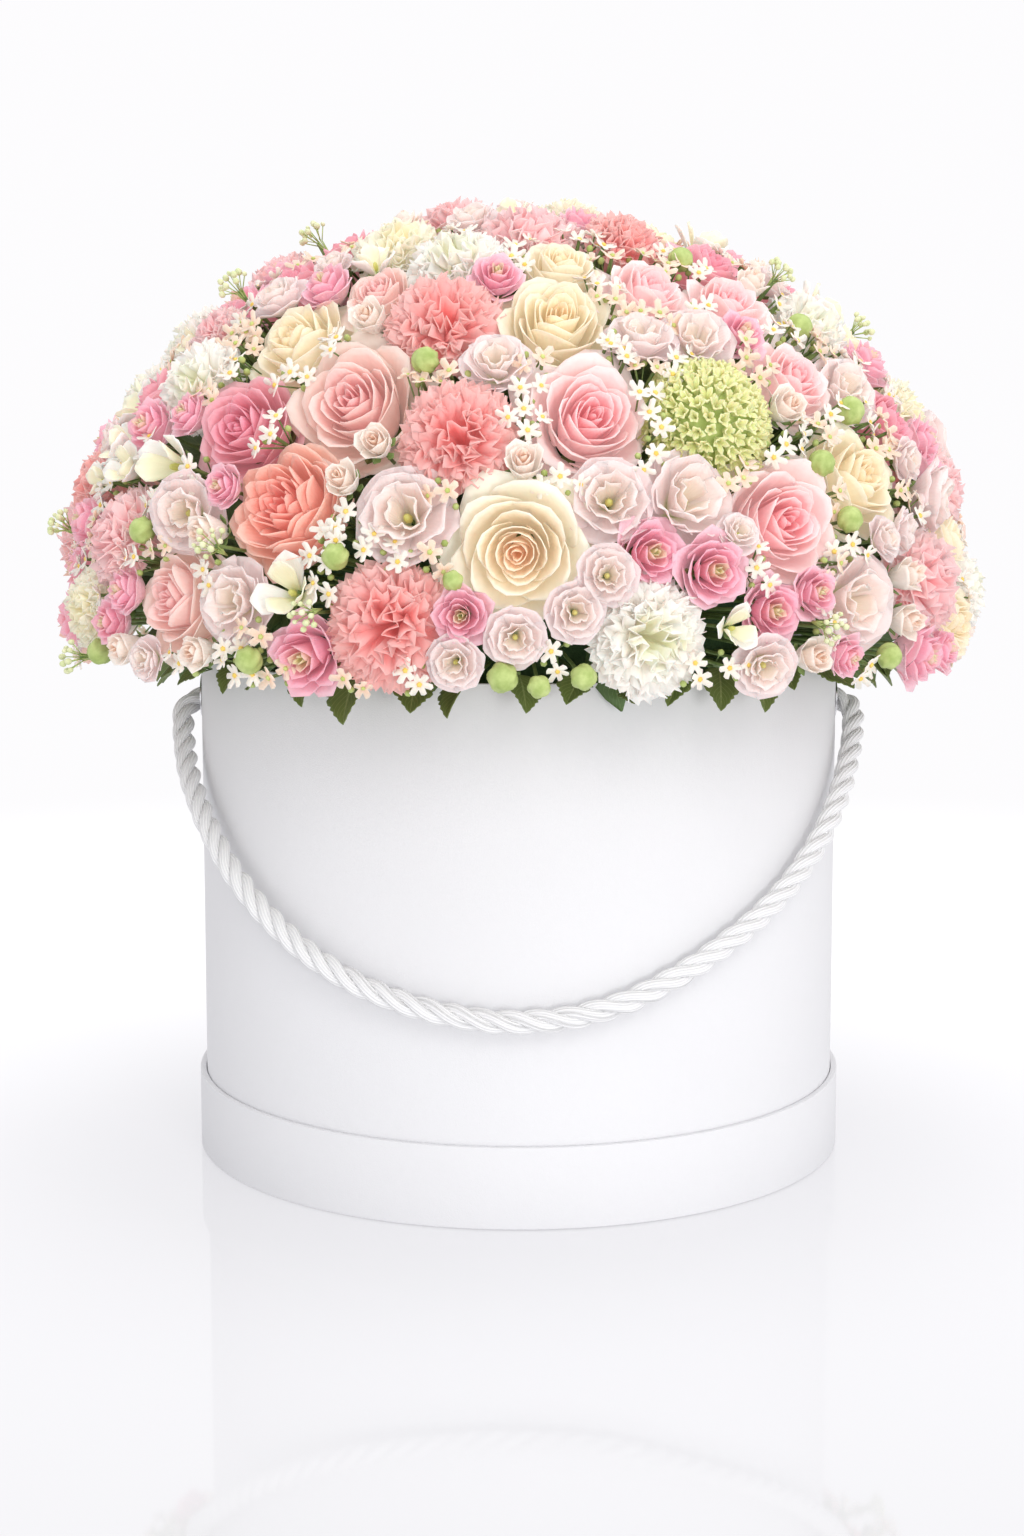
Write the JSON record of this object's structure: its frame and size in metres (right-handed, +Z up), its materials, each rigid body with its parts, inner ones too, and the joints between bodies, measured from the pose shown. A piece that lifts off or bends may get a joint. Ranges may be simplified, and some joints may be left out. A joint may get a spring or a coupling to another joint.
{
  "type": "flower box",
  "caption": "Round paper-wrapped gift box standing in its own lid, with a hanging rope handle and a full dome of cut flowers planted in a foam insert.",
  "frame": {"origin": "centre of the lid's underside, where the box rests", "axes": "+Z up along the box's axis; the rope handle hangs on the -Y side; +X is to the right seen from there"},
  "size_m": [0.5058, 0.5054, 0.519],
  "materials": {
    "bud": "satin",
    "carnations_coral_petals": "velvet",
    "carnations_pink_petals": "velvet",
    "carnations_white_petals": "velvet",
    "eyelet": "satin white",
    "foam": "crushed grain",
    "freesias_white_petals": "velvet",
    "garden_roses_coral_petals": "velvet",
    "greyboard": "matte",
    "leaf": "satin, veined",
    "liner": "dark green",
    "pompons_cream_petals": "velvet",
    "rope": "twisted, soft sheen",
    "rosebuds_blush_petals": "velvet",
    "roses_blush_petals": "velvet",
    "roses_cream_petals": "velvet",
    "roses_mauve_petals": "velvet",
    "roses_peach_petals": "velvet",
    "roses_pink_petals": "velvet",
    "snowballs_green_petals": "velvet",
    "spray_roses_pink_petals": "velvet",
    "stem": "satin",
    "stocks_lilac_petals": "velvet",
    "waxflowers_petals": "waxy",
    "white_paper": "matte, fine grain"
  },
  "bodies": {
    "lid": {"lid_disc": "greyboard", "lid_rim": "greyboard", "lid_wrap": "white_paper"},
    "box": {"box_wall": "greyboard", "box_wrap": "white_paper", "box_base": "greyboard", "eyelet_left": "eyelet", "eyelet_right": "eyelet"},
    "handle": {"rope_handle": "rope", "rope_knot_left": "rope", "rope_knot_right": "rope"},
    "insert": {"bud_sprigs": "bud", "carnations_coral": "carnations_coral_petals", "carnations_pink": "carnations_pink_petals", "carnations_white": "carnations_white_petals", "foam_base": "foam", "foam_dome": "foam", "foliage": "leaf", "freesias_white": "freesias_white_petals", "garden_roses_coral": "garden_roses_coral_petals", "green_buds": "bud", "liner": "liner", "pompons_cream": "pompons_cream_petals", "rim_leaves": "leaf", "rosebuds_blush": "rosebuds_blush_petals", "roses_blush": "roses_blush_petals", "roses_cream": "roses_cream_petals", "roses_mauve": "roses_mauve_petals", "roses_peach": "roses_peach_petals", "roses_pink": "roses_pink_petals", "snowballs_green": "snowballs_green_petals", "spray_roses_pink": "spray_roses_pink_petals", "stems_bud_sprigs": "stem", "stems_carnations_coral": "stem", "stems_carnations_pink": "stem", "stems_carnations_white": "stem", "stems_freesias_white": "stem", "stems_garden_roses_coral": "stem", "stems_green_buds": "stem", "stems_pompons_cream": "stem", "stems_rim_leaves": "stem", "stems_rosebuds_blush": "stem", "stems_roses_blush": "stem", "stems_roses_cream": "stem", "stems_roses_mauve": "stem", "stems_roses_peach": "stem", "stems_roses_pink": "stem", "stems_snowballs_green": "stem", "stems_spray_roses_pink": "stem", "stems_stocks_lilac": "stem", "stems_waxflowers": "stem", "stocks_lilac": "stocks_lilac_petals", "waxflowers": "waxflowers_petals"}
  },
  "joints": [
    {"name": "box_lift", "type": "slide", "parent": "lid", "child": "box", "axis": [0, 0, 1], "range_m": [0, 0.06]},
    {"name": "handle_swing", "type": "hinge", "parent": "box", "child": "handle", "pos_m": [0, 0, 0.248], "axis": [-1, 0, 0], "range_deg": [0, 35]},
    {"name": "insert_lift", "type": "slide", "parent": "box", "child": "insert", "axis": [0, 0, 1], "range_m": [0, 0.28]}
  ]
}
